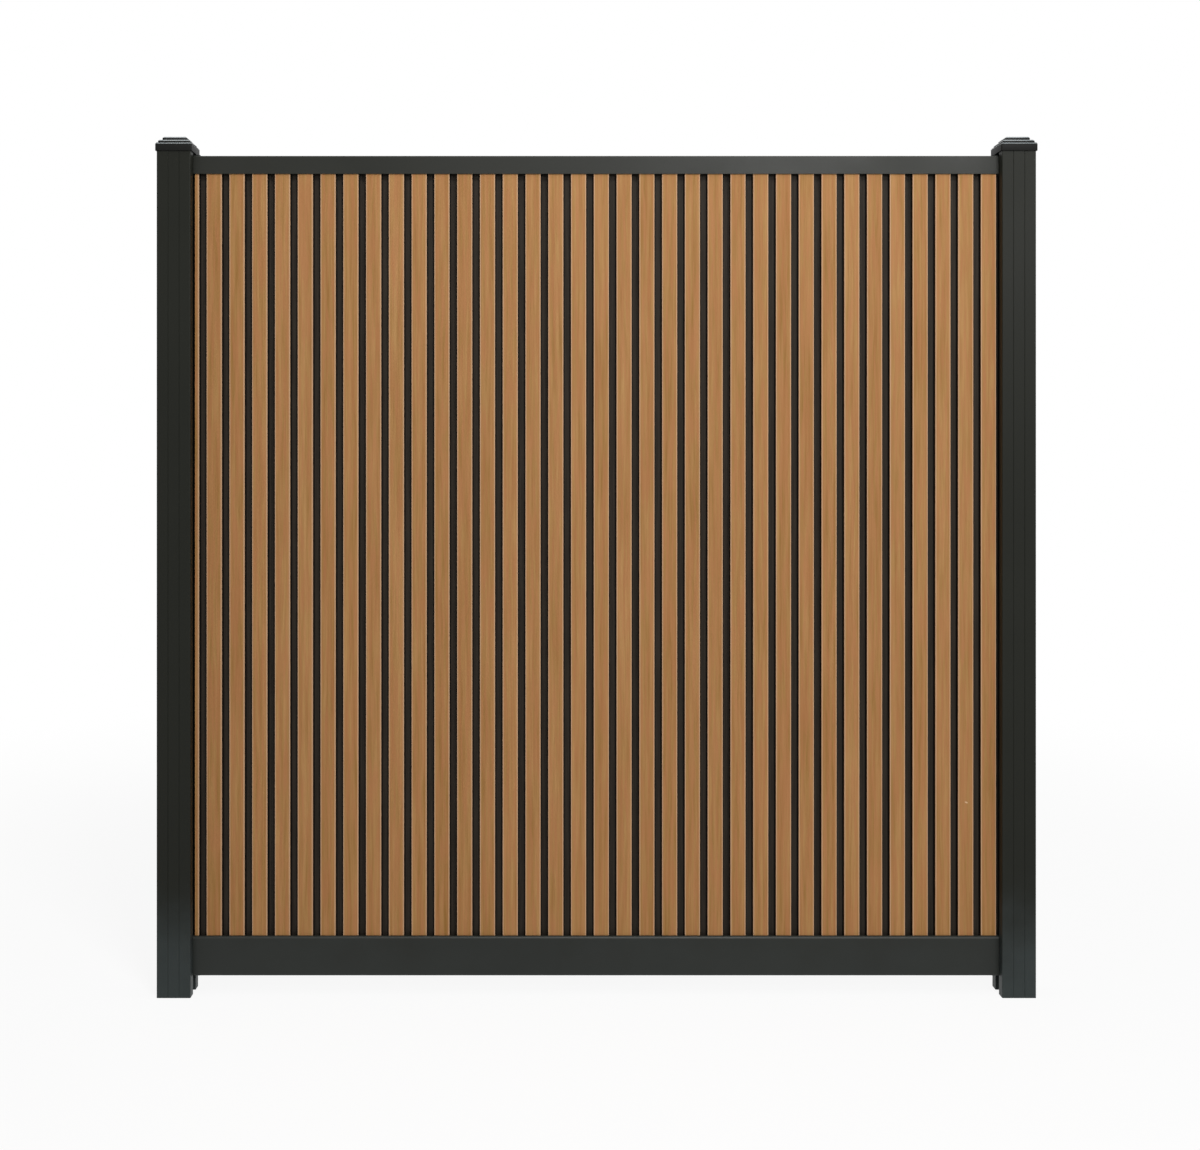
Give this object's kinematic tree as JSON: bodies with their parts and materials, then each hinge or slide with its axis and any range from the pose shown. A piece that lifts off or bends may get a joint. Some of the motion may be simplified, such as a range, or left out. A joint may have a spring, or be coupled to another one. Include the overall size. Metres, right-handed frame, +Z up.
{
  "type": "composite fence panel",
  "caption": "Upright slatted composite boards held between aluminium rails and square slotted posts with stepped caps: a bay of screen fencing.",
  "frame": {"origin": "on the ground, midway between the posts and midway through their depth", "axes": "+Z up, +X along the bay to the right as seen from the slatted front, slatted front towards -Y"},
  "size_m": [1.9516, 0.081, 1.9075],
  "materials": {
    "frame_coat": "fine-textured anthracite powder coat on extruded aluminium",
    "cap_coat": "fine-textured anthracite powder coat on cast aluminium",
    "board_composite": "wood-grained co-extruded composite, teak brown slats with charcoal grooves",
    "bracket_metal": "anthracite powder coat on aluminium angle",
    "screw_steel": "bright steel"
  },
  "bodies": {
    "root": {"left_post": "frame_coat", "right_post": "frame_coat", "left_post_front_strip": "frame_coat", "left_post_back_strip": "frame_coat", "left_post_outer_strip": "frame_coat", "right_post_front_strip": "frame_coat", "right_post_back_strip": "frame_coat", "right_post_outer_strip": "frame_coat", "left_post_cap": "cap_coat", "right_post_cap": "cap_coat", "top_rail": "frame_coat", "bottom_rail": "frame_coat", "board_1": "board_composite", "board_2": "board_composite", "board_3": "board_composite", "board_4": "board_composite", "board_5": "board_composite", "board_6": "board_composite", "board_7": "board_composite", "board_8": "board_composite", "board_9": "board_composite", "left_bottom_bracket": "bracket_metal", "right_bottom_bracket": "bracket_metal", "left_top_bracket": "bracket_metal", "right_top_bracket": "bracket_metal", "bracket_screws": "screw_steel"}
  },
  "joints": []
}
